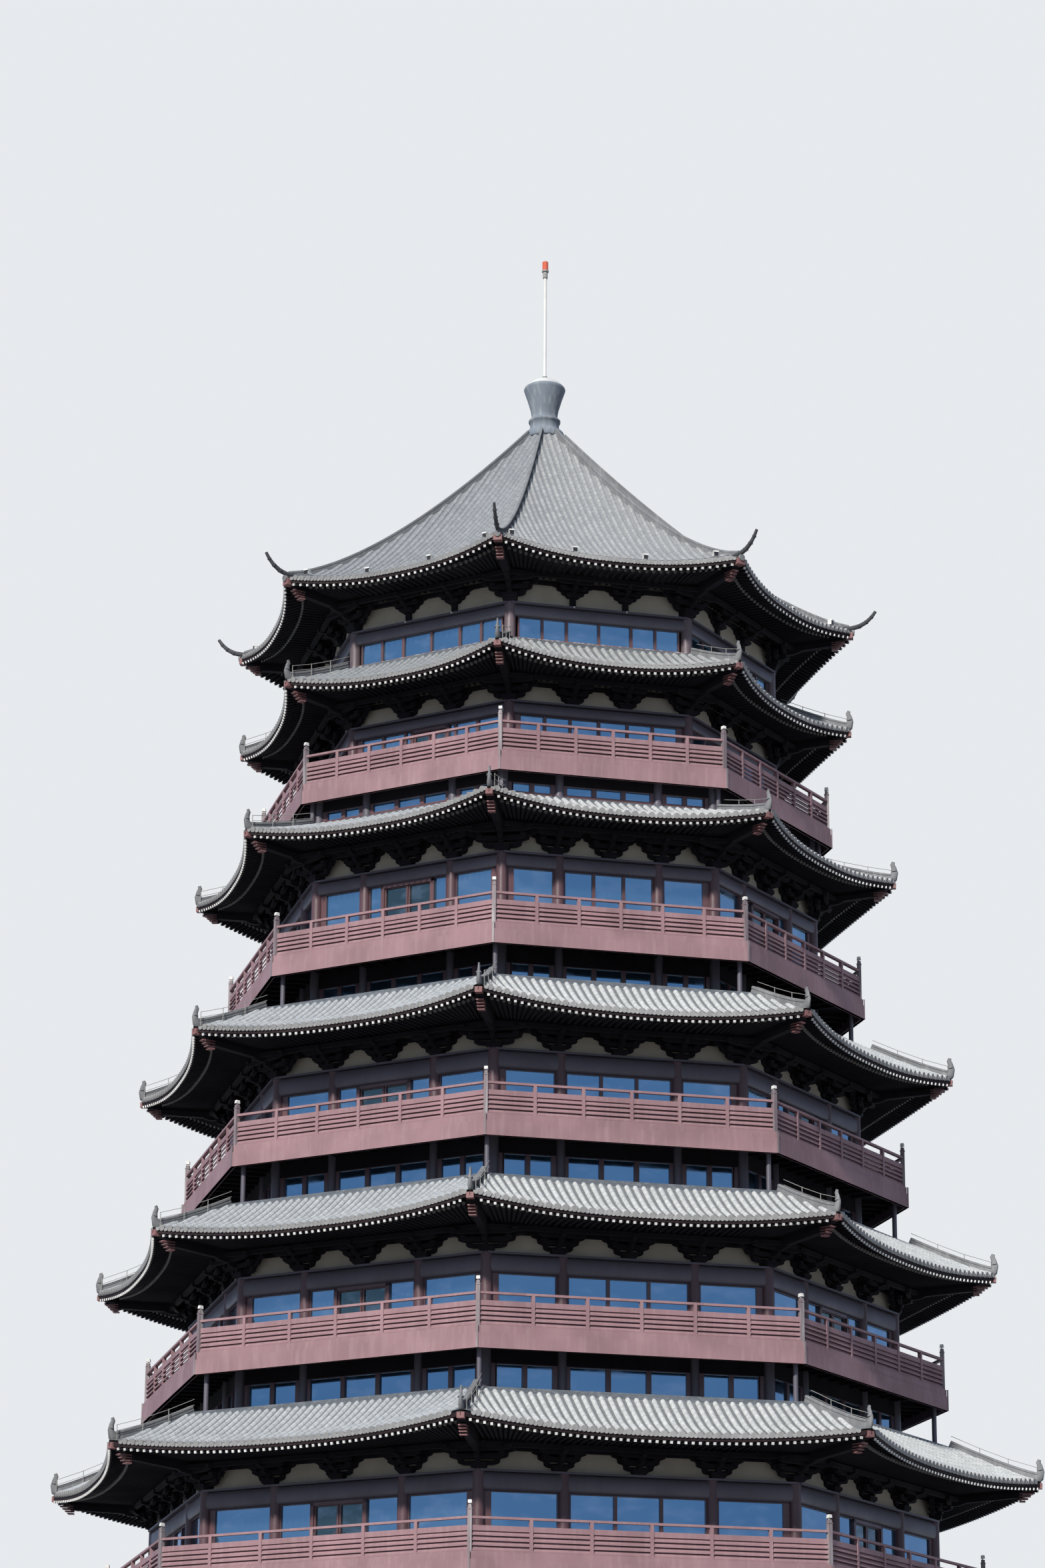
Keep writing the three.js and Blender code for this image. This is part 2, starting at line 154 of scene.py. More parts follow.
class Shape:
    """A mesh in the making, with smooth flags and texture coordinates."""

    def __init__(self):
        self.points = []
        self.faces = []
        self.smooth = []
        self.uvs = []

    def add(self, points, faces, smooth=False, uvs=None):
        first = len(self.points)
        self.points.extend(tuple(p) for p in points)
        self.uvs.extend(uvs if uvs is not None else [(0.0, 0.0)] * len(points))
        self.faces.extend(tuple(i + first for i in face) for face in faces)
        self.smooth.extend([smooth] * len(faces))

    def prism(self, outline, offset):
        """A flat outline of points, pushed along offset."""
        k = len(outline)
        far = [tuple(a + b for a, b in zip(p, offset)) for p in outline]
        caps = [tuple(reversed(range(k))), tuple(range(k, 2 * k))]
        self.add(list(outline) + far, caps + grid(2, k, ring=True))

    def box(self, n, u, z):
        base = [(n[0], u[0], z[0]), (n[1], u[0], z[0]), (n[1], u[1], z[0]), (n[0], u[1], z[0])]
        self.prism(base, (0, 0, z[1] - z[0]))

    def band(self, n, z):
        """A level band along a whole side, mitred at the corners."""
        base = [(a, side * a * HALF_TAN, z[0]) for a, side in ((n[0], -1), (n[1], -1), (n[1], 1), (n[0], 1))]
        self.prism(base, (0, 0, z[1] - z[0]))

    def rod(self, start, end, radius, sides=12, end_radius=None):
        """A round bar with smooth sides and flat ends."""
        a, b = np.array(start, float), np.array(end, float)
        axis = (b - a) / np.linalg.norm(b - a)
        first = np.cross(axis, (0, 0, 1) if abs(axis[2]) < 0.9 else (1, 0, 0))
        first /= np.linalg.norm(first)
        second = np.cross(axis, first)
        angles = [2 * pi * k / sides for k in range(sides)]
        spokes = [cos(t) * first + sin(t) * second for t in angles]
        near = [a + radius * s for s in spokes]
        far = [b + (end_radius or radius) * s for s in spokes]
        self.add(near + far, grid(2, sides, ring=True), True)
        self.add(near, [tuple(reversed(range(sides)))])
        self.add(far, [tuple(range(sides))])

    def bar(self, start, end, width, height):
        """A square bar; width is level and height upright."""
        a, b = np.array(start, float), np.array(end, float)
        axis = (b - a) / np.linalg.norm(b - a)
        side = np.cross(axis, (0, 0, 1))
        side *= width / 2 / np.linalg.norm(side)
        up = np.cross(side, axis)
        up *= height / 2 / np.linalg.norm(up)
        self.prism([a - side - up, a + side - up, a + side + up, a - side + up], b - a)

    def sweep(self, path, section, scales=None, smooth=False):
        """A section of (side, up) points carried along a path in the upright plane u = 0."""
        path = np.array(path, float)
        tangents = np.gradient(path, axis=0)
        tangents /= np.linalg.norm(tangents, axis=1)[:, None]
        k = len(section)
        points = []
        for (n, z), (out, rise), scale in zip(path, tangents, scales or [1.0] * len(path)):
            points.extend((n - rise * h * scale, w * scale, z + out * h * scale) for w, h in section)
        self.add(points, grid(len(path), k, ring=True), smooth)
        self.add(points[:k], [tuple(reversed(range(k)))])
        self.add(points[-k:], [tuple(range(k))])

    def lathe(self, profile, segments):
        """A profile of (radius, z) points turned round the axis."""
        angles = [2 * pi * k / segments for k in range(segments)]
        points = [(r * cos(a), r * sin(a), z) for a in angles for r, z in profile]
        self.add(points, grid(segments, len(profile), loop=True, turned=True), True)


def place(name, data):
    obj = bpy.data.objects.new(name, data)
    bpy.context.scene.collection.objects.link(obj)
    return obj


def piece(name, shapes, material, replaces=()):
    """One object of the visual model: a shape turned to all the sides, or a list of (shape, angles)."""
    points, faces, smooth, uvs = [], [], [], []
    count = 0
    for shape, angles in shapes if isinstance(shapes, list) else [(shapes, FACES)]:
        if not shape.points:
            continue
        x, y, z = np.array(shape.points, float).T
        for angle in angles:
            c, s = cos(angle), sin(angle)
            points.append(np.column_stack((x * c - y * s, x * s + y * c, z)))
            faces.extend(tuple(i + count for i in face) for face in shape.faces)
            smooth.extend(shape.smooth)
            uvs.extend(shape.uvs)
            count += len(x)
    mesh = bpy.data.meshes.new(name)
    mesh.from_pydata(np.concatenate(points), [], faces)
    mesh.polygons.foreach_set("use_smooth", smooth)
    layer = mesh.uv_layers.new(name="UVMap")
    corner_vertices = np.zeros(len(mesh.loops), np.int32)
    mesh.loops.foreach_get("vertex_index", corner_vertices)
    layer.data.foreach_set("uv", np.array(uvs, np.float32)[corner_vertices].ravel())
    mesh.materials.append(material)
    mesh.validate()
    obj = place(name, mesh)
    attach(obj, "root")
    if replaces:
        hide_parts(*replaces)


def dress(node, material):
    """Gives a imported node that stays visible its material."""
    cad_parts[node].data.materials.clear()
    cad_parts[node].data.materials.append(material)


# Materials
class Nodes:
    """Helpers that hang nodes on a tree."""

    def __init__(self, tree):
        self.tree = tree

    def node(self, kind, **settings):
        made = self.tree.nodes.new(kind)
        for key, value in settings.items():
            setattr(made, key, value)
        return made

    def link(self, source, target):
        """Joins an output to a socket, or sets the socket to a number or a colour."""
        if isinstance(source, tuple):
            target.default_value = (*source, 1.0)
        elif isinstance(source, (int, float)):
            target.default_value = source
        else:
            self.tree.links.new(source, target)

    def split(self, vector):
        made = self.node("ShaderNodeSeparateXYZ")
        self.link(vector, made.inputs[0])
        return made.outputs

    def math(self, operation, first, second=0.0):
        made = self.node("ShaderNodeMath", operation=operation)
        self.link(first, made.inputs[0])
        self.link(second, made.inputs[1])
        return made.outputs[0]

    def ramp(self, factor, start, end, low=0.0, high=1.0):
        """Goes from low at start to high at end, and no further."""
        made = self.node("ShaderNodeMapRange")
        for socket, value in (("From Min", start), ("From Max", end), ("To Min", low), ("To Max", high)):
            made.inputs[socket].default_value = value
        self.link(factor, made.inputs["Value"])
        return made.outputs[0]

    def mix(self, factor, first, second, share=1.0):
        """From first to second by a share of the factor."""
        if share != 1.0:
            factor = self.math("MULTIPLY", factor, share)
        made = self.node("ShaderNodeMix", data_type="RGBA")
        for value, index in ((factor, 0), (first, 6), (second, 7)):
            self.link(value, made.inputs[index])
        return made.outputs[2]


class Finish(Nodes):
    """A Principled material with textures in the object's own space."""

    def __init__(self, name, roughness, metallic=0.0, **sockets):
        self.material = bpy.data.materials.new(name)
        self.material.use_nodes = True
        super().__init__(self.material.node_tree)
        self.shader = self.tree.nodes["Principled BSDF"]
        self.shader.inputs["Roughness"].default_value = roughness
        self.shader.inputs["Metallic"].default_value = metallic
        for socket, value in sockets.items():
            self.shader.inputs[socket.replace("_", " ")].default_value = value
        self.place = self.node("ShaderNodeTexCoord").outputs["Object"]

    def noise(self, scale, detail=4.0, stretch=(1, 1, 1)):
        mapping = self.node("ShaderNodeMapping")
        mapping.inputs["Scale"].default_value = stretch
        self.link(self.place, mapping.inputs["Vector"])
        made = self.node("ShaderNodeTexNoise")
        made.inputs["Scale"].default_value = scale
        made.inputs["Detail"].default_value = detail
        self.link(mapping.outputs[0], made.inputs["Vector"])
        return made.outputs["Fac"]

    def painted_side_shade(self, colour, side_shade, amount):
        """Paints shade on the sides that face -X, up to the hips that bound them."""
        x, y, _ = self.split(self.place)
        around = self.math("ARCTAN2", self.math("ABSOLUTE", y), x)
        side = self.ramp(around, 2.5 * TURN - 0.02, 2.5 * TURN + 0.02)
        return self.mix(side, colour, side_shade, amount)

    def painted_flank_shade(self, colour, dark, amount):
        """Paints shade on the flanks that the key light never reaches."""
        facing = self.node("ShaderNodeVectorMath", operation="DOT_PRODUCT")
        self.link(self.node("ShaderNodeNewGeometry").outputs["Normal"], facing.inputs[0])
        facing.inputs[1].default_value = AWAY_FROM_KEY
        flank_shade = self.ramp(facing.outputs["Value"], 0.08, 0.22)
        return self.mix(flank_shade, colour, dark, amount)

    def colour(self, output):
        self.link(output, self.shader.inputs["Base Color"])

    def rough(self, factor, low, high):
        self.link(self.ramp(factor, 0.0, 1.0, low, high), self.shader.inputs["Roughness"])

    def bump(self, height, strength, distance):
        made = self.node("ShaderNodeBump")
        made.inputs["Strength"].default_value = strength
        made.inputs["Distance"].default_value = distance
        self.link(height, made.inputs["Height"])
        self.link(made.outputs[0], self.shader.inputs["Normal"])


def scaled(colour, factor):
    return tuple(factor * c for c in colour)


def painted(name, base, worn, roughness, streak=0.5, side_shade=0.0, flank_shade=0.0, **sockets):
    """Paint or lacquer on wood or metal: patches, rain streaks down the faces and a fine grain."""
    finish = Finish(name, roughness, **sockets)
    patches = finish.ramp(finish.noise(1.3, 6), 0.35, 0.75)
    streaks = finish.ramp(finish.noise(3.0, 5, (4, 4, 0.35)), 0.48, 0.8)
    shade = finish.mix(patches, scaled(base, 0.72), base)
    weathered = finish.mix(streaks, shade, worn, streak * streak)
    # painted shade: the sides that face -X are darkened
    if side_shade:
        weathered = finish.painted_side_shade(weathered, scaled(base, 0.4), side_shade)
    # painted shade: the flanks turned away from the key light are darkened
    if flank_shade:
        weathered = finish.painted_flank_shade(weathered, (0.012, 0.014, 0.022), flank_shade)
    finish.colour(weathered)
    finish.rough(patches, roughness + 0.1, roughness - 0.06)
    finish.bump(finish.noise(38.0, 3, (1, 1, 0.4)), 0.25, 0.004)
    return finish.material


def tiled(name, light, dark, moss, variety=0.7):
    """Fired clay tiles. The texture coordinates count the rows across and the tiles down the slope."""
    finish = Finish(name, 0.82)
    across, down, _ = finish.split(finish.node("ShaderNodeUVMap", uv_map="UVMap").outputs[0])
    cell = finish.node("ShaderNodeCombineXYZ")
    finish.link(finish.math("FLOOR", across), cell.inputs[0])
    finish.link(finish.math("FLOOR", down), cell.inputs[1])
    each = finish.node("ShaderNodeTexWhiteNoise")
    finish.link(cell.outputs[0], each.inputs["Vector"])
    patches = finish.ramp(finish.noise(0.8, 7), 0.3, 0.72)
    uneven = finish.ramp(each.outputs["Value"], 0.0, 1.0, 0.5 - 0.5 * variety, 0.5 + 0.5 * variety)
    shade = finish.mix(uneven, dark, light)
    weathered = finish.mix(patches, shade, light, 0.45)
    lichen = finish.ramp(finish.noise(9.0, 5), 0.6, 0.72)
    spotted = finish.mix(lichen, weathered, moss, 0.5)
    flecks = finish.ramp(finish.noise(24.0, 4), 0.46, 0.62)
    speckled = finish.mix(flecks, spotted, scaled(dark, 0.5), 0.3)
    # painted shade on the sides facing -X, darker and bluish like shade under the sky
    side_shade = tuple(c * painted_tint for c, painted_tint in zip(dark, (0.4, 0.5, 0.66)))
    shaded = finish.painted_side_shade(speckled, side_shade, 0.26)
    lap = finish.math("FRACT", down)
    joint = finish.ramp(lap, 0.14, 0.0)
    finish.colour(finish.mix(joint, shaded, scaled(dark, 0.35), 0.6))
    finish.rough(patches, 0.9, 0.72)
    grit = finish.math("MULTIPLY", finish.noise(30.0, 3), 0.3)
    finish.bump(finish.math("ADD", lap, grit), 0.6, 0.012)
    return finish.material


def stone_blocks():
    """Coursed stone: blocks laid round the tower, a brick pattern on angle and height."""
    finish = Finish("plinth stone", 0.88)
    x, y, z = finish.split(finish.place)
    around = finish.node("ShaderNodeCombineXYZ")
    finish.link(finish.math("MULTIPLY", finish.math("ARCTAN2", y, x), 9.5), around.inputs[0])
    finish.link(z, around.inputs[1])
    bricks = finish.node("ShaderNodeTexBrick")
    for socket, value in (("Scale", 1.0), ("Brick Width", 0.62), ("Row Height", 0.2), ("Mortar Size", 0.008),
                          ("Color1", (0.34, 0.33, 0.30)), ("Color2", (0.24, 0.235, 0.22)),
                          ("Mortar", (0.12, 0.115, 0.105))):
        finish.link(value, bricks.inputs[socket])
    finish.link(around.outputs[0], bricks.inputs["Vector"])
    stains = finish.ramp(finish.noise(0.9, 6, (1, 1, 0.5)), 0.4, 0.75)
    finish.colour(finish.mix(stains, bricks.outputs["Color"], (0.16, 0.155, 0.14), 0.5))
    grit = finish.math("MULTIPLY", finish.noise(25.0, 5), 0.4)
    finish.bump(finish.math("SUBTRACT", grit, bricks.outputs["Fac"]), 0.5, 0.012)
    return finish.material


def plastered():
    finish = Finish("cream plaster", 0.9)
    patches = finish.ramp(finish.noise(1.7, 6), 0.35, 0.7)
    finish.colour(finish.mix(patches, (0.59, 0.555, 0.455), (0.72, 0.68, 0.565)))
    finish.bump(finish.noise(45.0, 4), 0.2, 0.003)
    return finish.material


def window_glass(name, low, high):
    """Panes that mirror the sky, with faint dust; their blue tint, a little different on each, is painted
    sky reflection on top of the mirrored backdrop.
    """
    finish = Finish(name, 0.06, 0.9)
    dust = finish.ramp(finish.noise(1.9, 6, (1, 1, 2.2)), 0.50, 0.78)
    painted_tint = finish.mix(finish.noise(0.55, 1), low, high)
    finish.colour(finish.mix(dust, painted_tint, (0.50, 0.58, 0.68), 0.3))
    finish.rough(dust, 0.05, 0.2)
    finish.bump(finish.noise(1.1, 2), 0.05, 0.02)
    return finish.material


TILES = tiled("weathered roof tiles", (0.38, 0.388, 0.393), (0.24, 0.248, 0.256), (0.47, 0.48, 0.46))
CROWN_PANS = tiled("pan tiles of the crown", (0.31, 0.318, 0.325), (0.21, 0.218, 0.226),
                   (0.36, 0.37, 0.35), 0.5)
UPPER_SKIRT_TILES = tiled("upper skirt tiles", (0.42, 0.435, 0.44), (0.27, 0.285, 0.29), (0.49, 0.50, 0.48))
# painted light: the skirt tile rows are a paler copy of the tiles for the sun on their rolls, and the skirt
# pans a darker copy for the shade between the rolls
SUNLIT_SKIRT_TILES = tiled("skirt tiles with painted sunlight", (0.57, 0.585, 0.59), (0.39, 0.405, 0.41), (0.61, 0.62, 0.60))
SHADED_PAN_TILES = tiled("skirt pan tiles with painted shade", (0.22, 0.23, 0.236), (0.145, 0.155, 0.16),
                  (0.26, 0.27, 0.26), 0.6)
# the tile ends carry painted shade on their -X sides
TILE_ENDS = painted("weathered tile ends", (0.375, 0.375, 0.38), (0.46, 0.46, 0.45), 0.85, 0.8, 0.4)
FLASHING = painted("grey ledge flashing", (0.12, 0.135, 0.155), (0.26, 0.28, 0.30), 0.7, 0.8)
# the ridge tiles carry painted shade on their -X sides and on the flanks turned away from the key light
RIDGE_TILES = painted("ridge tiles", (0.22, 0.228, 0.24), (0.34, 0.345, 0.345), 0.8, 0.8, 0.3, 1.0)
# dark clay of the crown's horns; on the skirts' hooks the same dark is painted shade
HORN_CLAY_AND_HOOK_SHADE = painted("dark horn clay with painted hook shade", (0.055, 0.058, 0.066), (0.16, 0.165, 0.17), 0.75)
LACQUER = painted("red-brown lacquer", (0.135, 0.067, 0.072), (0.27, 0.17, 0.16), 0.32, 0.35)
COLUMN_LACQUER = painted("glossy column lacquer", (0.115, 0.060, 0.070), (0.21, 0.135, 0.14), 0.40, 0.4)
# lighter than the column lacquer: partly fading, partly painted sunlight on the crown's sunlit columns
LIT_AND_FADED_LACQUER = painted("faded column lacquer with painted sunlight", (0.155, 0.115, 0.13), (0.32, 0.25, 0.265), 0.42, 0.6)
# painted shade: the red-brown eave board is made near-black for the shade under the tile ends
SHADED_EAVE_PAINT = painted("red eave board in painted shade", (0.020, 0.012, 0.014), (0.045, 0.028, 0.03), 0.7,
                     Specular_IOR_Level=0.2)
SILL_PAINT = painted("flaking sill paint", (0.24, 0.12, 0.11), (0.80, 0.80, 0.78), 0.6, 1.0)
DARK_WOOD = painted("near-black timber", (0.020, 0.019, 0.024), (0.034, 0.032, 0.038), 0.8, 0.4,
                    Specular_IOR_Level=0.12)
RAFTER_WOOD = painted("black rafters", (0.030, 0.029, 0.035), (0.040, 0.039, 0.045), 0.85, 0.4,
                      Specular_IOR_Level=0.08)
# painted light: the boarding between the rafters is much lighter than the timber, to brighten the dark gaps
# of the soffit
LIGHTENED_BOARDING_WOOD = painted("eave boarding with painted fill light", (0.12, 0.115, 0.135), (0.15, 0.145, 0.165), 0.85, 0.4,
                        Specular_IOR_Level=0.1)
LINTEL_PAINT = painted("dark lintel paint", (0.125, 0.114, 0.143), (0.165, 0.15, 0.18), 0.42, 0.4)
RAIL = painted("mauve railing paint", (0.338, 0.205, 0.224), (0.46, 0.33, 0.33), 0.55, 0.55,
               Specular_IOR_Level=0.3)
BLOCK_PAINT = painted("dusty red paint", (0.26, 0.118, 0.118), (0.38, 0.24, 0.235), 0.6, 0.6)
POST_PAINT = painted("streaked post paint", (0.22, 0.175, 0.19), (0.47, 0.46, 0.47), 0.55, 0.9)
LAMP_BLACK = painted("black lamp front", (0.02, 0.02, 0.022), (0.06, 0.06, 0.065), 0.3, 0.3)
WHITE = painted("white paint", (0.86, 0.86, 0.84), (0.70, 0.69, 0.65), 0.5, 0.3)
GREY_PAINT = painted("dull grey paint", (0.34, 0.335, 0.32), (0.25, 0.24, 0.23), 0.6)
SIGNAL_RED = painted("signal red", (0.72, 0.12, 0.05), (0.80, 0.30, 0.16), 0.3, 0.2)
VASE_CLAY = painted("grey cast finial", (0.205, 0.243, 0.29), (0.34, 0.36, 0.38), 0.75, 1.0)
LIME_CRUST = painted("lime-streaked lid", (0.66, 0.67, 0.66), (0.34, 0.35, 0.36), 0.8, 0.9)
PLASTER = plastered()
# the blue of the window glass is partly painted sky reflection
GLASS = window_glass("glass with painted sky reflection", (0.11, 0.25, 0.40), (0.20, 0.36, 0.50))
# painted shade: the door panes are a darker copy of the window glass for the dim view they show
DOOR_GLASS = window_glass("door glass with painted shade", (0.05, 0.09, 0.10), (0.10, 0.16, 0.17))
STONE = stone_blocks()


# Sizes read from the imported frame
def level_edge(node, level):
    """How far +X a node reaches at one level."""
    return max(v.co.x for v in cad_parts[node].data.vertices if abs(v.co.z - level) < 0.002)


class Roof:
    """An eave's outline and the height of its tiles, from the roof's own node."""

    def __init__(self, node, layout):
        vars(self).update(layout)
        low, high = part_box(node)
        self.node = node
        self.middle = low.z + EAVE_DROP - EAVE_SAG
        self.corner = low.z + EAVE_DROP + EAVE_RISE
        self.eave = high.x - self.horn_out
        self.top = high.z - self.top_drop
        self.ledge = level_edge(node, high.z)

    def edge(self, s):
        """Distance from the axis and level of the eave at s, which is 0 mid-side and 1 at a corner."""
        lift = np.abs(s) ** EAVE_POWER
        return self.eave - EAVE_FLARE * (1 - lift), self.middle + (self.corner - self.middle) * lift

    def edge_at(self, u):
        n = self.eave
        for _ in range(8):
            n, level = self.edge(min(1.0, abs(u) / (n * HALF_TAN)))
        return n, level

    def height(self, n, u):
        s = np.clip(u / (n * HALF_TAN), -1, 1)
        outer, level = self.edge(s)
        t = np.clip((n - self.ledge) / (outer - self.ledge), 0, 1)
        return level + EAVE_TOP + (self.top - level - EAVE_TOP) * (1 - t) ** self.curve

    def hip_height(self, r):
        """Height of a hip at a distance r from the axis."""
        return self.height(r * APOTHEM, r * APOTHEM * HALF_TAN)

    def spot(self, n, s):
        """The point of the slope at distance n, with s as for edge."""
        u = s * n * HALF_TAN
        return n, u, float(self.height(n, u))


class Storey:
    """The wall plane, the column line and the beam levels of one storey."""

    def __init__(self, wall, frame_node, roof):
        self.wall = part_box(wall)[1].x
        self.columns = self.wall + WALL_SETBACK
        self.corner = self.columns / APOTHEM
        self.half = self.columns * HALF_TAN
        levels = sorted({round(v.co.z, 3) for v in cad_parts[frame_node].data.vertices})
        self.base, self.beam_low, self.beam_high, self.seat = levels
        self.lintel_top = self.beam_high + LINTEL_BOARD
        self.roof = roof


COUNT = len([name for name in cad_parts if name.startswith("wall_")])
NUMBERS = range(1, COUNT + 1)
ROOFS = {n: Roof(f"roof_{n}", SKIRT) for n in NUMBERS}
STOREYS = {n: Storey(f"wall_{n}", f"frame_{n}", ROOFS[n]) for n in NUMBERS}
TOP_ROOF = Roof("top_roof", CROWN)
CROWN_STOREY = Storey(f"wall_{COUNT}", "crown_frame", TOP_ROOF)


# Tiled slopes
def slope_lengths(roof):
    """Distances from the axis down the slope and how far down the slope each one is."""
    n = np.linspace(roof.ledge, roof.eave, 60)
    z = roof.height(n, np.zeros(60))
    return n, np.concatenate([[0], np.cumsum(np.hypot(np.diff(n), np.diff(z)))])


def pan_tiles(roof, rows):
    """The slope under the tile rows, as one sheet a side."""
    shape = Shape()
    along, lengths = slope_lengths(roof)
    points, uvs = [], []
    for t in np.linspace(0, 1, rows):
        for s in STATIONS:
            n, u, z = roof.spot(roof.ledge + (roof.edge(s)[0] - roof.ledge) * t, s)
            points.append((n, u, z))
            uvs.append((u / roof.tile_pitch, np.interp(n, along, lengths) / PAN_STEP))
    shape.add(points, grid(rows, len(STATIONS), turned=True), True, uvs)
    return shape


def tile_rows(roof, pieces):
    """Rows of half-round cover tiles, and the round ends and hanging drip tiles along the eave."""
    rows, ends = Shape(), Shape()
    tube = roof.tube
    along, lengths = slope_lengths(roof)
    first = roof.ledge + roof.flashing
    count = 2 * int(roof.eave * HALF_TAN / roof.tile_pitch) - 1
    arc = [pi * k / 4 for k in range(5)]
    for row in range(count):
        u = (row - (count - 1) / 2) * roof.tile_pitch
        outer, level = roof.edge_at(u)
        hip = (abs(u) - tube) / HALF_TAN
        full = max(first + 0.03, hip + 2 * tube / HALF_TAN)
        if outer - full < 0.05:
            continue
        start = max(first + 0.005, hip)
        n = np.concatenate([[start, (start + full) / 2], np.linspace(full, outer + 0.01, pieces - 2)])
        radii = [0.5 * tube if hip < first else tube] + [tube] * (pieces - 1)
        points = []
        for a, b, r in zip(n, roof.height(n, u), radii):
            limit = a * HALF_TAN
            points.extend((a, min(max(u + r * cos(t), -limit), limit),
                           b - 0.005 + r * TILE_ARCH * sin(t)) for t in arc)
        uvs = [(row + 0.5, v) for v in np.interp(n, along, lengths) / TILE_LENGTH for _ in arc]
        rows.add(points, grid(pieces, len(arc), turned=True), True, uvs)
        top = level + EAVE_TOP
        disc = TILE_ARCH * tube + 0.002
        ends.rod((outer - 0.01, u, top - 0.003), (outer + 0.021, u, top - 0.008), disc, 12)
    for gap in range(count + 1):
        u = (gap - count / 2) * roof.tile_pitch
        outer, level = roof.edge_at(u)
        top = level + EAVE_TOP + 0.004
        lip = [(outer, u + DRIP_HALF * cos(t), top - DRIP * abs(sin(t)) ** 0.8)
               for t in (pi * k / 6 for k in range(7))]
        ends.prism(lip, (0.016, 0, -0.006))
    return rows, ends


def ledge_flashing(roof):
    """The grey sheet over the top of a slope, from the wall down to where the tile rows start."""
    shape = Shape()
    foot = roof.ledge + roof.flashing
    section = [(roof.ledge - 0.04, 0.012), (roof.ledge + 0.01, 0.018), (foot, 0.022), (foot + 0.004, -0.01)]
    points = []
    for s in np.linspace(-1, 1, 9):
        for distance, lift in section:
            n, u, z = roof.spot(distance, s)
            points.append((n, u, z + lift))
    shape.add(points, grid(9, len(section)))
    return shape


def hip_ridges(roof, crown):
    """The capped ridge down a corner and its raised end: a horn on the crown, a fin and a hook below."""
    ridge, raised, hook = Shape(), Shape(), Shape()
    end = roof.eave / APOTHEM
    tip = roof.corner + EAVE_TOP
    top, wide, stations = (0.115, 0.027, 22) if crown else (0.13, 0.05, 9)
    half = [(0.76 * wide, -0.05), (0.76 * wide, top - 0.045), (wide, top - 0.04), (wide, top - 0.012),
            (0.6 * wide, top)]
    r = np.linspace(roof.ledge / APOTHEM, end - 0.12, stations)
    ridge.sweep(list(zip(r, roof.hip_height(r))), half + [(-w, h) for w, h in reversed(half)])

    def placed(path):
        return [(end + out, tip + up) for out, up in path]

    if crown:
        horn = placed(HORN)
        raised.sweep(horn, oval(0.05, 0.06), HORN_WIDTHS, True)
        for (n, z), radius in zip(horn[3:6], (0.052, 0.0468, 0.0416)):
            raised.rod((n - 0.008, 0, z - 0.009), (n + 0.008, 0, z + 0.009), radius, 10)
        ridge.rod((end - 0.03, 0, tip - 0.03), (end + 0.012, 0, tip - 0.035), 0.062, 12)
    else:
        raised.sweep(placed(FIN), oval(0.036, 0.07), FIN_WIDTHS, True)
        raised.rod((end - 0.035, 0, tip + 0.195), (end - 0.04, 0, tip + 0.22), 0.055, 10, 0.05)
        hook.sweep(placed(HOOK), oval(0.05, 0.06), HOOK_WIDTHS, True)
    return ridge, raised, hook


# Timber under the eaves
def fan(s):
    """Tangent of the angle by which rafters near a corner lean towards it."""
    lean = np.clip((abs(s) - 0.5) / 0.5, 0, 1)
    return copysign(tan(TURN / 2 * lean * lean * (3 - 2 * lean)), s)


def rafter_slope(s):
    """Rise of the flying rafters, steeper mid-side where the eave hangs lower."""
    return 0.44 - 0.21 * abs(s) ** EAVE_POWER


def rafters(storey):
    """Square flying rafters over round lower ones, with their white and grey ends as shapes of their own."""
    roof = storey.roof
    timber, white, grey = Shape(), Shape(), Shape()
    count = round(2 * roof.eave * HALF_TAN / roof.rafter_pitch) - 2
    inner = storey.columns + 0.05
    for k in range(count):
        u = (k - (count - 1) / 2) * roof.rafter_pitch
        outer, level = roof.edge_at(u)
        level -= RAFTER_DROP
        s = u / (outer * HALF_TAN)
        lean = fan(s)
        slope = rafter_slope(s)
        stop = (outer - RAFTER_REACH, u - RAFTER_REACH * lean, level + RAFTER_REACH * slope)
        timber.bar((outer - 0.012, u, level), stop, RAFTER_WIDTH, RAFTER_WIDTH)
        tip = (outer + 0.008, u + 0.02 * lean, level - 0.006)
        white.bar((outer - 0.014, u, level), tip, WHITE_TIP, WHITE_TIP)
        n = outer - LOWER_SETBACK
        low = level + LOWER_SETBACK * slope - 0.062
        foot = u - LOWER_SETBACK * lean
        inside = (inner, foot - (n - inner) * lean, storey.seat + 0.10)
        timber.rod((n, foot, low), inside, LOWER_RADIUS, 8)
        sleeve = (n - 0.03, foot - 0.03 * lean, low + 0.002)
        grey.rod(sleeve, (n + 0.004, foot, low), LOWER_RADIUS + 0.002, 8)
    return timber, white, grey


def eave_boards(storey):
    """The board along the eave, and the boarding over the rafters."""
    roof = storey.roof
    board, boarding = Shape(), Shape()
    rim, sheet = [], []
    for s in STATIONS:
        outer, level = roof.edge(s)
        wide = outer * HALF_TAN * s
        back = (outer - 0.05) * HALF_TAN * s
        rim.extend([(outer - 0.05, back, level + 0.012), (outer - 0.01, wide, level + 0.012),
                    (outer - 0.01, wide, level + 0.072), (outer - 0.05, back, level + EAVE_TOP - 0.01)])
        knee = level + RAFTER_REACH * rafter_slope(s) + 0.02
        for n, z in ((outer - 0.03, level + 0.014), (outer - RAFTER_REACH, knee),
                     (storey.columns - 0.06, storey.seat + 0.15)):
            sheet.append((n, n * HALF_TAN * s, z))
    board.add(rim, grid(len(STATIONS), 4, ring=True))
    boarding.add(sheet, grid(len(STATIONS), 3))
    return board, boarding


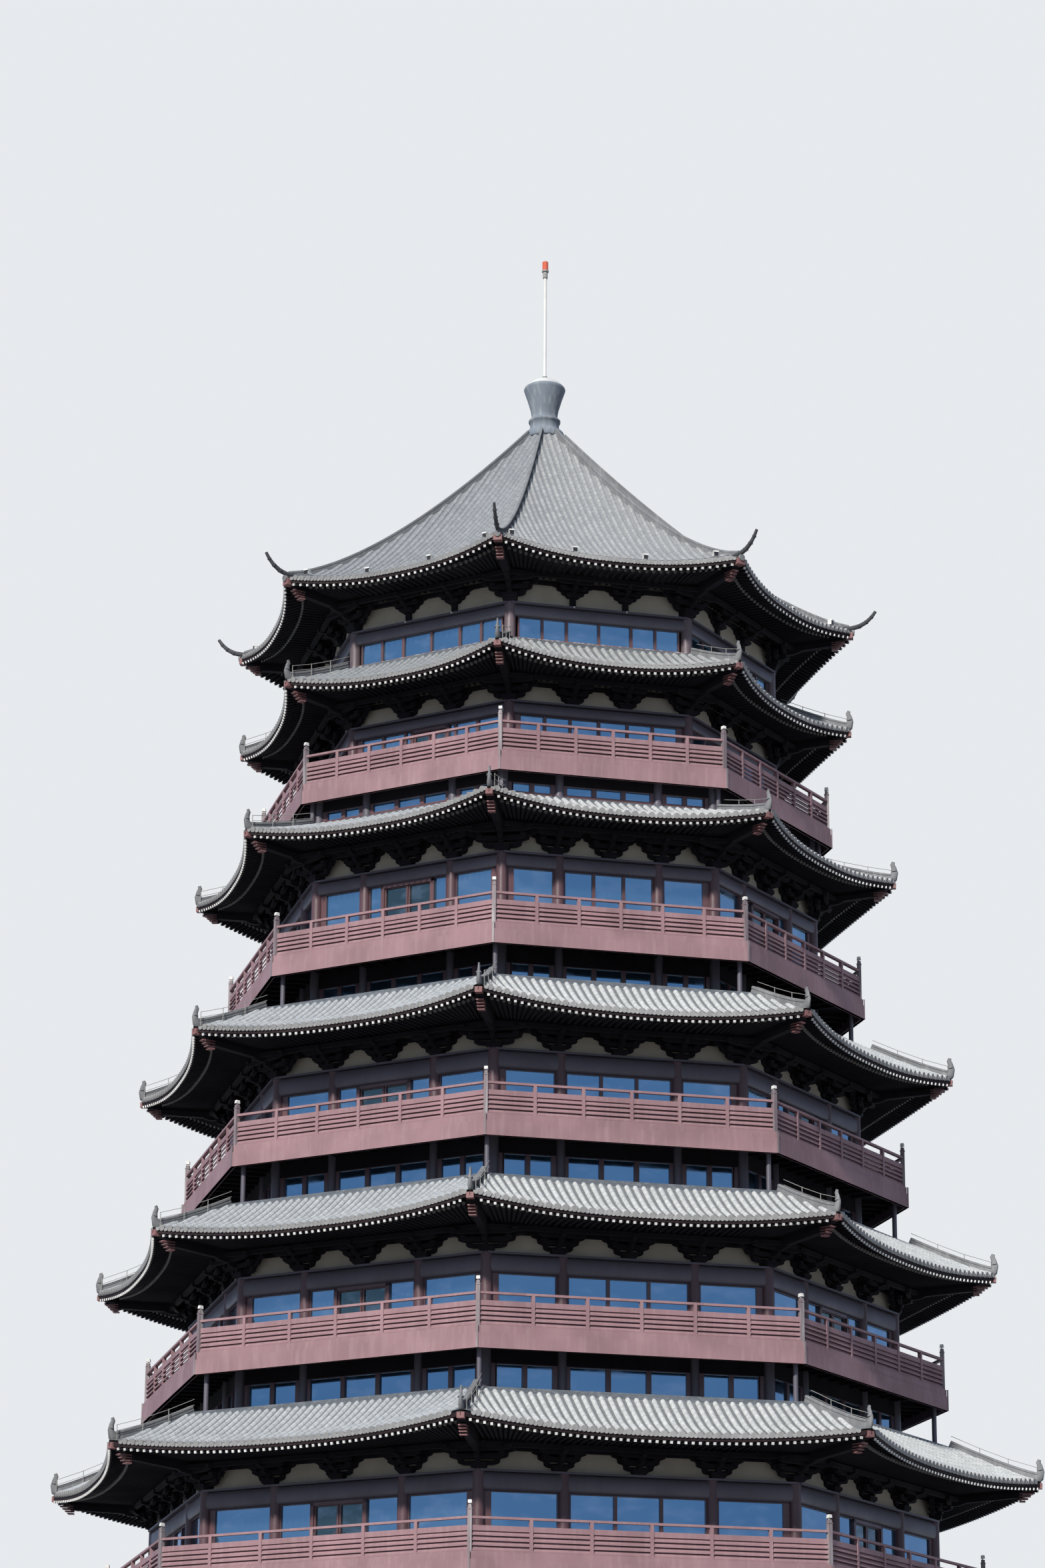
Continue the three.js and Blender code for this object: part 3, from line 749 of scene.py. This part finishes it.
def corner_beams(storey):
    """The upper and the lower beam under a hip, and their painted ends and blocks."""
    beams, ends = Shape(), Shape()
    end = storey.roof.eave / APOTHEM
    level = storey.roof.corner
    for seat, reach, drop in ((0.08, 0.16, -0.01), (-0.03, 0.38, 0.12)):
        start = (storey.corner, 0, storey.seat + seat)
        beams.bar(start, (end - reach, 0, level - drop), CORNER_BEAM, CORNER_BEAM)
    width, height = (0.165, 0.12) if storey is CROWN_STOREY else (0.13, 0.10)
    ends.bar((end - 0.16, 0, level + 0.02), (end - 0.015, 0, level + 0.022), width, height)
    for step in range(4):
        top = level - 0.105 - 0.046 * step
        ends.box((end - 0.44, end - 0.38 + 0.05 * (4 - step)), (-0.066, 0.066), (top - 0.022, top))
    return beams, ends


# Bracket sets
def arm(shape, along, n, u, z, reach, height, thick):
    """A bracket arm with upswept ends, along the wall or out from it."""
    half = [(reach * 0.72, 0), (reach * 0.9, height * 0.25), (reach, height * 0.55), (reach, height)]
    outline = [(-a, b) for a, b in reversed(half)] + half
    if along:
        shape.prism([(n - thick / 2, u + a, z + b) for a, b in outline], (thick, 0, 0))
    else:
        shape.prism([(n + a, u - thick / 2, z + b) for a, b in outline], (0, thick, 0))


def bearing_block(shape, n, u, z, size, height):
    """A block with a narrowed foot."""
    points = [(n + a * w, u + b * w, z + h)
              for w, h in ((size * 0.36, 0), (size / 2, height * 0.45), (size / 2, height))
              for a, b in ((-1, -1), (1, -1), (1, 1), (-1, 1))]
    shape.add(points, [(3, 2, 1, 0), (8, 9, 10, 11)] + grid(3, 4, ring=True))


def bracket_set(shape, n, u, foot, top, strut, spread):
    """Three tiers of arms on a base block, each tier longer and further out than the one below."""
    if strut:
        shape.box((n - 0.05, n + 0.06), (u - 0.055, u + 0.055), (foot, foot + strut))
    base = foot + strut
    rise = (top - base) / 3.9
    bearing_block(shape, n + 0.02, u, base, 0.28, rise)
    for tier in range(3):
        z = base + rise * (tier + 0.7)
        block_z = z + rise * 0.68
        out = ARM_STEP * (tier + 1)
        reach = spread * (0.25 + 0.1 * tier)
        arm(shape, False, n, u, z, out, rise * 0.7, 0.08)
        lengths = [(0.0, reach), (ARM_STEP * tier - 0.03, reach - 0.05)]
        for depth, length in lengths[:2 if tier else 1]:
            arm(shape, True, n + depth, u, z, length, rise * 0.7, 0.075)
            for side in (-1, 1):
                bearing_block(shape, n + depth, u + side * (length - 0.045), block_z, 0.11, rise * 0.4)
        bearing_block(shape, n + out - 0.05, u, block_z, 0.11, rise * 0.4)


def brackets(storey, per_side, strut=0.0):
    """The bracket sets of a side and a corner, and the two beams that lie on a side's sets."""
    sides, corners = Shape(), Shape()
    spread, spacing = (1.06, 0.5 * storey.half) if per_side == 3 else (0.88, 0.596 * storey.half)
    foot = storey.lintel_top
    top = storey.seat + 0.03
    for k in range(per_side):
        bracket_set(sides, storey.columns, spacing * (k - (per_side - 1) / 2), foot, top, strut, spread)
    for offset, depth in ((0.40, 0.075), (0.0, 0.06)):
        n = storey.columns + offset
        reach = storey.half + offset * HALF_TAN
        sides.box((n, n + depth), (-reach, reach), (storey.seat - 0.03, storey.seat + 0.05))
    bracket_set(corners, storey.corner, 0, foot, top, strut / 3, 1.35 * spread)
    bearing_block(corners, storey.corner, 0, foot, 0.27, (top - foot) * 0.22)
    arm(corners, False, storey.corner, 0, top - 0.13, 0.62, 0.11, 0.09)
    return sides, corners


# Columns, lintels and infill
def frame_members(storey, base, inner_columns):
    """Round columns on wider feet, the rounded lintel with the flat board on it, and the infill above."""
    corner, side, lintel, infill = Shape(), Shape(), Shape(), Shape()
    half = storey.half
    line = storey.columns
    for shape, n, places in ((corner, storey.corner, (0.0,)), (side, line, inner_columns)):
        for u in places:
            shape.rod((n, u, base), (n, u, storey.lintel_top), COLUMN, 20)
            shape.rod((n, u, base), (n, u, base + 0.06), COLUMN_FOOT, 20, 0.115)
    middle = (storey.beam_low + storey.beam_high) / 2
    tall = (storey.beam_high - storey.beam_low) / 2
    section = [(0.09 * copysign(abs(cos(a)) ** 0.6, cos(a)),
                tall * copysign(abs(sin(a)) ** 0.6, sin(a)))
               for a in (2 * pi * k / 16 for k in range(16))]
    ends = [(line + a, end * (half + a * HALF_TAN), middle + b) for end in (-1, 1) for a, b in section]
    lintel.add(ends, grid(2, 16, ring=True), True)
    lintel.box((line - 0.13, line + 0.13), (-half, half), (storey.beam_high - 0.002, storey.lintel_top))
    infill.box((line - 0.07, line - 0.01), (-half, half), (storey.lintel_top - 0.02, storey.seat + 0.14))
    return corner, side, lintel, infill


# Windows and doors
def glazed_bay(bars, panes, plane, u, z, count, bar=0.06, edge=0.03):
    """A framed opening from u[0] to u[1], split into equal panes by bars."""
    face = (plane - 0.085, plane - 0.02)
    head = z[1] - 0.5 * edge
    bars.box(face, u, (z[0], z[0] + edge))
    bars.box(face, u, (head, z[1]))
    for side in ((u[0], u[0] + edge), (u[1] - edge, u[1])):
        bars.box(face, side, (z[0] + edge, head))
    width = (u[1] - u[0] - 2 * edge - (count - 1) * bar) / count
    for k in range(1, count):
        start = u[0] + edge + k * width + (k - 1) * bar
        bars.box((face[0], face[1] + 0.006), (start, start + bar), (z[0] + edge, head))
    panes.box((plane - 0.062, plane - 0.05), (u[0] + 0.01, u[1] - 0.01), (z[0] + 0.01, z[1] - 0.01))


def door_bay(bars, panes, leaves, plane, reach, z, floor, open_way):
    """A pair of glass doors with side lights, or only the side lights round an open doorway."""
    door = 0.62 if open_way else min(0.54, 0.7 * reach)
    for u in both(door, reach):
        glazed_bay(bars, panes, plane, u, z, 1 if reach - door < 0.7 else 2)
    jamb = (plane - 0.10, plane)
    for u in both(door - 0.03, door + 0.04):
        bars.box(jamb, u, (floor, z[1]))
    bars.box(jamb, (-door - 0.04, door + 0.04), (z[1] - 0.06, z[1]))
    if open_way:
        return
    for leaf, handle_u in zip(both(0.008, door - 0.03), (-0.05, 0.05)):
        glazed_bay(bars, leaves, plane - 0.01, leaf, (floor + 0.01, z[1] - 0.06), 1, edge=0.035)
        handle = (plane + 0.012, handle_u)
        bars.rod((*handle, floor + 0.42), (*handle, floor + 0.62), 0.009, 8)


def storey_glazing(storey, number):
    """Window bays of a storey, with its doors in the middle bay of every other side."""
    leaves = Shape()
    opening = storey.half - CORNER_PIER
    plane = storey.columns + WINDOW_PROUD
    z = (storey.base + SILL, storey.beam_low + 0.005)
    bay = BAY * storey.half
    three_bays = number < COUNT
    middle = bay - 0.09 if three_bays else opening * 0.36
    edge = middle + (0.18 if three_bays else 0.0)
    wall = (storey.wall - 0.01, plane - 0.02)
    sides = []
    for doors in (False, True):
        bars, panes = Shape(), Shape()
        if doors:
            door_bay(bars, panes, leaves, plane, middle, z, storey.base, number == 1)
        else:
            glazed_bay(bars, panes, plane, (-middle, middle), z, 3 if three_bays else 2)
        for u in both(edge, opening):
            glazed_bay(bars, panes, plane, u, z, 1 if three_bays else 2)
        for u in both(opening, storey.half):
            bars.box(wall, u, z)
        bars.box(wall, (-storey.half, storey.half), (z[0] - 0.07, z[0]))
        sides.append((bars, panes))
    window_sides, door_sides = (DOOR_FACES, WINDOW_FACES) if number == 1 else (WINDOW_FACES, DOOR_FACES)
    bars, panes = ([(shape, angles) for shape, angles in zip(pair, (window_sides, door_sides))]
                   for pair in zip(*sides))
    return bars, panes, [(leaves, door_sides)], (-bay, bay) if three_bays else ()


def band_glazing(wall, z, bays, bar):
    """A low band of windows: bays are (from, to, panes) along the side."""
    bars, panes = Shape(), Shape()
    for low, high, count in bays:
        glazed_bay(bars, panes, wall, (low, high), z, count, bar)
    return bars, panes


# Balconies
def balcony(number):
    """Deck with its fascia, joists, railing with louvres, corner posts and their lamps."""
    storey = STOREYS[number]
    floor = storey.base
    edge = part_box(f"balcony_{number}")[1].x
    deck, under, rail, post, lamp = Shape(), Shape(), Shape(), Shape(), Shape()
    for shape, start, end, low, high in (
        (deck, storey.wall - 0.05, edge - 0.05, -0.03, 0),
        (deck, edge - 0.09, edge - 0.025, -0.115, 0.012),
        (deck, edge - 0.06, edge, -FASCIA_DROP, -0.115),
        (deck, edge - 0.075, edge + 0.004, -FASCIA_DROP, 0.03 - FASCIA_DROP),
        (under, storey.wall - WALL, edge - 0.06, -DECK, -0.03),
    ):
        shape.band((start, end), (floor + low, floor + high))
    joists = 12
    for k in range(joists):
        u = (2 * (k + 0.5) / joists - 1) * (storey.wall * HALF_TAN)
        under.box((storey.wall - 0.02, edge - 0.06), (u - 0.03, u + 0.03), (floor - 0.23, floor - DECK))
    line = edge - 0.09
    reach = line * HALF_TAN
    for back, front, low, high in ((-0.035, 0.035, 0.56, RAIL_HEIGHT), (-0.02, 0.024, 0.36, 0.45),
                                   (-0.03, 0.03, 0.012, 0.035)):
        rail.box((line + back, line + front), (-reach, reach), (floor + low, floor + high))
    slat = [(0.012, 0), (0.032, 0), (0.032, 0.018), (0.02, 0.026), (-0.022, 0.10), (-0.032, 0.094)]
    for k in range(4):
        z = floor + 0.03 + 0.084 * k
        rail.prism([(line + a, -reach, z + b) for a, b in slat], (0, 2 * reach, 0))
    bays = 6
    for k in range(1, bays):
        u = (2 * k / bays - 1) * reach
        rail.box((line - 0.03, line + 0.036), (u - 0.03, u + 0.03), (floor, floor + RAIL_HEIGHT))
    corner = line / APOTHEM
    for back, front, half, low, high in (
        (0.035, 0.045, 0.036, -0.01, 0.71),
        (0.042, 0.052, 0.043, 0.71, 0.725),
        (0.03, 0.04, 0.031, 0.725, 0.78),
    ):
        post.box((corner - back, corner + front), (-half, half), (floor + low, floor + high))
    strip = edge / APOTHEM
    post.box((strip - 0.02, strip + 0.006), (-0.018, 0.018), (floor - FASCIA_DROP, floor + 0.01))
    lamp.box((corner - 0.012, corner + 0.012), (-0.012, 0.012), (floor + 0.78, floor + 0.80))
    head = [(-0.035, 0.80), (0.045, 0.81), (0.035, 0.865), (-0.03, 0.86)]
    lamp.prism([(corner + a, -0.032, floor + b) for a, b in head], (0, 0.064, 0))
    piece(f"deck_{number}", deck, RAIL, (f"balcony_{number}",))
    piece(f"deck_underside_{number}", under, DARK_WOOD)
    piece(f"rails_and_louvres_{number}", rail, RAIL, (f"railing_{number}",))
    piece(f"corner_posts_{number}", [(post, CORNERS)], POST_PAINT)
    piece(f"post_lamps_{number}", [(lamp, CORNERS)], WHITE)


def band_under_balcony(number):
    """The low wall over a skirt roof: windows, beam, columns, corner stub posts and the flashing below."""
    storey = STOREYS[number]
    below = STOREYS[number - 1]
    roof = below.roof
    flush = number == COUNT
    wall = below.wall if flush else storey.wall
    ledge = roof.top
    under_deck = storey.base - DECK
    head = storey.base - FASCIA_DROP - 0.05
    line = wall + WALL_SETBACK
    corner_line = line / APOTHEM
    half = line * HALF_TAN
    reach = half - CORNER_PIER
    bay = BAY * half
    plane = line + WINDOW_PROUD
    low, high = ledge + 0.07, head - 0.05
    bays = [(-reach - 0.02, -bay - 0.14, 2), (-bay + 0.12, bay - 0.12, 3), (bay + 0.14, reach + 0.02, 2)]
    bars, panes = band_glazing(plane, (low, high), bays, 0.09)
    beam, columns, corner, walls = Shape(), Shape(), Shape(), Shape()
    for pier, mullion in zip(both(reach, half), both(bay - 0.12, bay + 0.14)):
        bars.box((wall - 0.01, plane - 0.02), pier, (ledge, high))
        bars.box((plane - 0.08, plane - 0.02), mullion, (ledge, high))
    bars.box((wall - 0.01, plane - 0.02), (-half, half), (ledge - 0.02, low))
    beam.box((wall - 0.01, plane - 0.015), (-half, half), (high, under_deck))
    for u in (-bay, bay):
        columns.rod((line, u, ledge), (line, u, under_deck), 0.085, 16)
    corner.rod((corner_line, 0, ledge), (corner_line, 0, under_deck), 0.1, 16)
    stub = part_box(f"balcony_{number}")[1].x / APOTHEM - 0.27
    foot = float(roof.hip_height(stub)) if stub > roof.ledge / APOTHEM else ledge
    corner.rod((stub, 0, foot), (stub, 0, under_deck), 0.045, 12)
    for shape, n, u in ((columns, line, bay), (columns, line, -bay), (corner, corner_line, 0)):
        shape.rod((n, u, ledge), (n, u, ledge + 0.06), COLUMN_FOOT, 16, 0.1)
    if not flush:
        inside = (wall - WALL, wall)
        wide = wall * HALF_TAN
        walls.box(inside, (-wide, wide), (ledge - 0.1, ledge + 0.06))
        walls.box(inside, (-wide, wide), (head, under_deck))
        for pair in zip(both(reach, wide), both(bay - 0.1, bay + 0.1)):
            for u in pair:
                walls.box(inside, u, (ledge, head + 0.01))
        piece(f"low_wall_{number}", walls, LACQUER)
    replaced = () if flush else (f"recess_glass_{number}",)
    piece(f"low_window_bars_{number}", bars, LACQUER)
    piece(f"low_beams_{number}", beam, DARK_WOOD)
    piece(f"low_panes_{number}", panes, GLASS, replaced)
    piece(f"low_columns_{number}", [(columns, FACES), (corner, CORNERS)], LINTEL_PAINT)
    piece(f"ledge_flashing_{number - 1}", ledge_flashing(roof), FLASHING)


# Roof furniture
def hip_wires(roof):
    """Thin rails on small posts beside a hip, from the fin up to the wall."""
    shape = Shape()
    r = np.linspace(roof.ledge / APOTHEM + 0.05, roof.eave / APOTHEM - 0.1, 4)
    stops = list(zip(r, roof.hip_height(r)))
    for n, z in stops[1:]:
        shape.rod((n, 0.09, z - 0.02), (n, 0.09, z + 0.25), 0.007, 6)
    for lift in (0.14, 0.24):
        for (n, z), (next_n, next_z) in zip(stops[:-1], stops[1:]):
            shape.rod((n, 0.09, z + lift), (next_n, 0.09, next_z + lift), 0.0055, 6)
    return shape


def floodlights(roof):
    """White lamps with black fronts on short legs near the eave, and the cable along it."""
    shells, fronts, cable = Shape(), Shape(), Shape()
    for s in (-0.90, -0.35, 0.28, 0.86):
        n, u, z = roof.spot(roof.edge(s)[0] - 0.20, s)
        z += roof.tube
        for shape, back, front, half, low, high in (
            (shells, 0.03, 0, 0.012, -0.03, 0.05),
            (shells, 0.05, 0.03, 0.045, 0.03, 0.12),
            (shells, 0.05, 0.05, 0.05, 0.10, 0.125),
            (fronts, -0.03, 0.04, 0.04, 0.03, 0.10),
        ):
            shape.box((n - back, n + front), (u - half, u + half), (z + low, z + high))
    stops = [roof.spot(roof.edge(s)[0] - 0.11, s) for s in np.linspace(-0.97, 0.97, 24)]
    route = [(n, u, z + roof.tube + 0.012) for n, u, z in stops]
    for start, end in zip(route[:-1], route[1:]):
        cable.rod(start, end, 0.006, 6)
    return shells, fronts, cable


# Putting the tower together
def roof_pieces(storey, label, crown=False):
    roof = storey.roof
    ridge, raised, hook = hip_ridges(roof, crown)
    timber, white, grey = rafters(storey)
    board, boarding = eave_boards(storey)
    rows, row_ends = tile_rows(roof, 14 if crown else 6)
    pans = pan_tiles(roof, 16 if crown else 7)
    beams, ends = corner_beams(storey)
    tiles = {"crown": TILES, str(COUNT): UPPER_SKIRT_TILES}.get(label, SUNLIT_SKIRT_TILES)
    piece(f"tile_rows_{label}", rows, tiles, (roof.node,))
    piece(f"tile_ends_{label}", row_ends, TILE_ENDS)
    piece(f"pan_tiles_{label}", pans, CROWN_PANS if crown else SHADED_PAN_TILES)
    piece(f"hip_ridges_{label}", [(ridge, CORNERS)], RIDGE_TILES)
    piece(f"hip_ends_{label}", [(raised, CORNERS)], HORN_CLAY_AND_HOOK_SHADE if crown else RIDGE_TILES)
    # painted shade: the hooks behind the fins take the dark horn clay for the shade they stand in
    if not crown:
        piece(f"hip_hooks_{label}", [(hook, CORNERS)], HORN_CLAY_AND_HOOK_SHADE)
    piece(f"rafters_{label}", timber, RAFTER_WOOD)
    piece(f"eave_boarding_{label}", boarding, LIGHTENED_BOARDING_WOOD)
    piece(f"rafter_ends_{label}", white, WHITE)
    piece(f"lower_rafter_ends_{label}", grey, GREY_PAINT)
    piece(f"eave_boards_{label}", board, SHADED_EAVE_PAINT)
    piece(f"corner_beams_{label}", [(beams, CORNERS)], DARK_WOOD)
    piece(f"corner_blocks_{label}", [(ends, CORNERS)], BLOCK_PAINT)


def frame_pieces(storey, label, node, base, inner_columns, per_side, strut=0.0):
    corner, side, lintel, infill = frame_members(storey, base, inner_columns)
    sides, corners = brackets(storey, per_side, strut)
    # the crown's columns take the lighter lacquer that holds painted sunlight
    lacquer = LIT_AND_FADED_LACQUER if storey is CROWN_STOREY else COLUMN_LACQUER
    piece(f"columns_{label}", [(corner, CORNERS), (side, FACES)], lacquer, (node,))
    piece(f"lintels_{label}", lintel, LINTEL_PAINT)
    piece(f"cream_panels_{label}", infill, PLASTER)
    piece(f"brackets_{label}", [(sides, FACES), (corners, CORNERS)], DARK_WOOD)


def build_storeys():
    for number, storey in STOREYS.items():
        bars, panes, leaves, inner_columns = storey_glazing(storey, number)
        per_side = 2 if number == COUNT else 3
        frame_pieces(storey, str(number), f"frame_{number}", storey.base, inner_columns, per_side)
        piece(f"window_bars_{number}", bars, LACQUER)
        piece(f"panes_{number}", panes, GLASS, (f"glass_{number}",))
        if number > 1:
            piece(f"door_panes_{number}", leaves, DOOR_GLASS)
        roof_pieces(storey, str(number))
        piece(f"hip_wires_{number}", [(hip_wires(storey.roof), CORNERS)], GREY_PAINT)
        dress(f"wall_{number}", LACQUER)
        if number > 1:
            balcony(number)
            band_under_balcony(number)


def build_crown():
    """The band of six panes under the top eave, and the top roof."""
    top = CROWN_STOREY
    ledge = ROOFS[COUNT].top
    plane = top.columns + WINDOW_PROUD
    reach = top.half - 0.15
    wide = 0.40 * reach
    frame_pieces(top, "crown", "crown_frame", ledge, (), 2, 0.19)
    bays = [(-reach, -wide, 2), (-wide, wide, 2), (wide, reach, 2)]
    bars, panes = band_glazing(plane, (ledge + 0.04, top.beam_low + 0.01), bays, 0.05)
    piece("crown_window_bars", bars, LACQUER)
    piece("crown_panes", panes, GLASS)
    sill, studs = Shape(), Shape()
    sill.box((plane - 0.09, plane + 0.005), (-top.half, top.half), (ledge - 0.02, ledge + 0.065))
    piece("crown_sill", sill, SILL_PAINT)
    piece("crown_flashing", ledge_flashing(ROOFS[COUNT]), FLASHING)
    for side in (-0.298, 0.298):
        u = side * top.half
        n = top.columns + 0.13
        studs.box((n, n + 0.02), (u - 0.016, u + 0.016), (top.beam_high, top.beam_high + 0.03))
    piece("strut_studs", studs, WHITE)
    roof_pieces(top, "crown", True)
    shells, fronts, cable = floodlights(TOP_ROOF)
    piece("floodlights", shells, WHITE)
    piece("floodlight_fronts", fronts, LAMP_BLACK)
    piece("eave_cable", cable, FLASHING)


def build_finial():
    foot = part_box("finial")[0].z
    vase, lid = Shape(), Shape()
    vase.lathe([(r, foot + z) for r, z in VASE], 40)
    lid.lathe([(r, foot + z) for r, z in LID], 40)
    piece("finial_vase", [(vase, ONCE)], VASE_CLAY, ("finial",))
    piece("finial_lid", [(lid, ONCE)], LIME_CRUST)


def build_pole():
    foot, top = (corner.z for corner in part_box("lightning_pole"))
    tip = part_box("aviation_lamp")[1].z
    collars = Shape()
    for low, high, radius in ((foot + 0.06, foot + 0.13, 0.05), (top - 0.16, top - 0.03, 0.05),
                              (top - 0.02, top + 0.015, 0.07), (tip - 0.01, tip + 0.012, 0.05)):
        collars.rod((0, 0, low), (0, 0, high), radius, 16)
    piece("pole_collars", [(collars, ONCE)], GREY_PAINT)
    dress("lightning_pole", WHITE)
    dress("aviation_lamp", SIGNAL_RED)


def build_plinth():
    """Coping and foot course round the plinth, and the cheeks beside its steps."""
    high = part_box("plinth")[1]
    edge = level_edge("plinth", high.z)
    half = edge * HALF_TAN
    courses, cheeks = Shape(), Shape()
    courses.prism([(edge - 0.3, -half + 0.124, high.z), (edge + 0.03, -half - 0.012, high.z),
                   (edge + 0.03, half + 0.012, high.z), (edge - 0.3, half - 0.124, high.z)], (0, 0, 0.02))
    courses.prism([(edge, -half, 0), (edge + 0.06, -half - 0.025, 0), (edge + 0.06, half + 0.025, 0),
                   (edge, half, 0)], (0, 0, 0.12))
    outline = [(edge, 0), (high.y, 0), (high.y, 0.14), (edge + 0.1, high.z + 0.02), (edge, high.z + 0.02)]
    for inner, outer in both(1.4, 1.58):
        cheeks.prism([(n, inner, z) for n, z in outline], (0, outer - inner, 0))
    piece("plinth_coping", [(courses, FACES), (cheeks, WINDOW_FACES)], STONE)
    dress("plinth", STONE)


# Floor, light and camera
def build_floor():
    finish = Finish("pale studio floor", 0.9)
    finish.colour(finish.mix(finish.noise(0.2, 3), (0.60, 0.61, 0.62), (0.66, 0.67, 0.68)))
    corners = [(a * FLOOR_HALF, b * FLOOR_HALF, 0) for a, b in ((-1, -1), (1, -1), (1, 1), (-1, 1))]
    mesh = bpy.data.meshes.new("floor")
    mesh.from_pydata(corners, [], [(0, 1, 2, 3)])
    mesh.materials.append(finish.material)
    floor = place("floor", mesh)
    floor.visible_diffuse = False


def build_light():
    light = bpy.data.lights.new("key", "SUN")
    light.energy = KEY_ENERGY
    light.angle = radians(KEY_WIDTH)
    light.color = (1.0, 0.96, 0.90)
    place("key", light).rotation_euler = (radians(KEY_TILT), 0, radians(KEY_TURN))


def build_world():
    """A pale backdrop that is brighter to the eye and in mirrors than in its light, and dim from below."""
    world = bpy.data.worlds.new("soft studio")
    world.use_nodes = True
    nodes = Nodes(world.node_tree)
    height = nodes.split(nodes.node("ShaderNodeTexCoord").outputs["Generated"])[2]
    rays = nodes.node("ShaderNodeLightPath").outputs
    light = nodes.mix(nodes.ramp(height, -0.05, 0.1), (0.165, 0.162, 0.17), (0.40, 0.47, 0.58))
    mirrored = nodes.mix(rays["Is Glossy Ray"], light, (0.36, 0.47, 0.70))
    seen = nodes.mix(rays["Is Camera Ray"], mirrored, (0.80, 0.82, 0.85))
    nodes.link(seen, nodes.tree.nodes["Background"].inputs["Color"])
    bpy.context.scene.world = world
    bpy.context.scene.view_settings.view_transform = "Standard"


def build_camera():
    """The camera stands turned from the -Y side towards -X, and looks a little left of the axis and up."""
    side = radians(-CAMERA["side"])
    pitch, left, roll = (radians(CAMERA[key]) for key in ("pitch", "left", "roll"))
    position = (CAMERA["distance"] * sin(side), -CAMERA["distance"] * cos(side), CAMERA["height"])
    data = bpy.data.cameras.new("camera")
    data.sensor_fit = "VERTICAL"
    data.sensor_height = 36.0
    data.lens = CAMERA["lens"]
    data.clip_end = 2000.0
    camera = place("camera", data)
    turn = Matrix.Rotation(side + left, 4, "Z")
    tilt = Matrix.Rotation(pi / 2 + pitch, 4, "X")
    spin = Matrix.Rotation(roll, 4, "Z")
    camera.matrix_world = Matrix.Translation(position) @ turn @ tilt @ spin
    bpy.context.scene.camera = camera


build_camera()
build_storeys()
build_crown()
build_finial()
build_pole()
build_plinth()
build_floor()
build_light()
build_world()
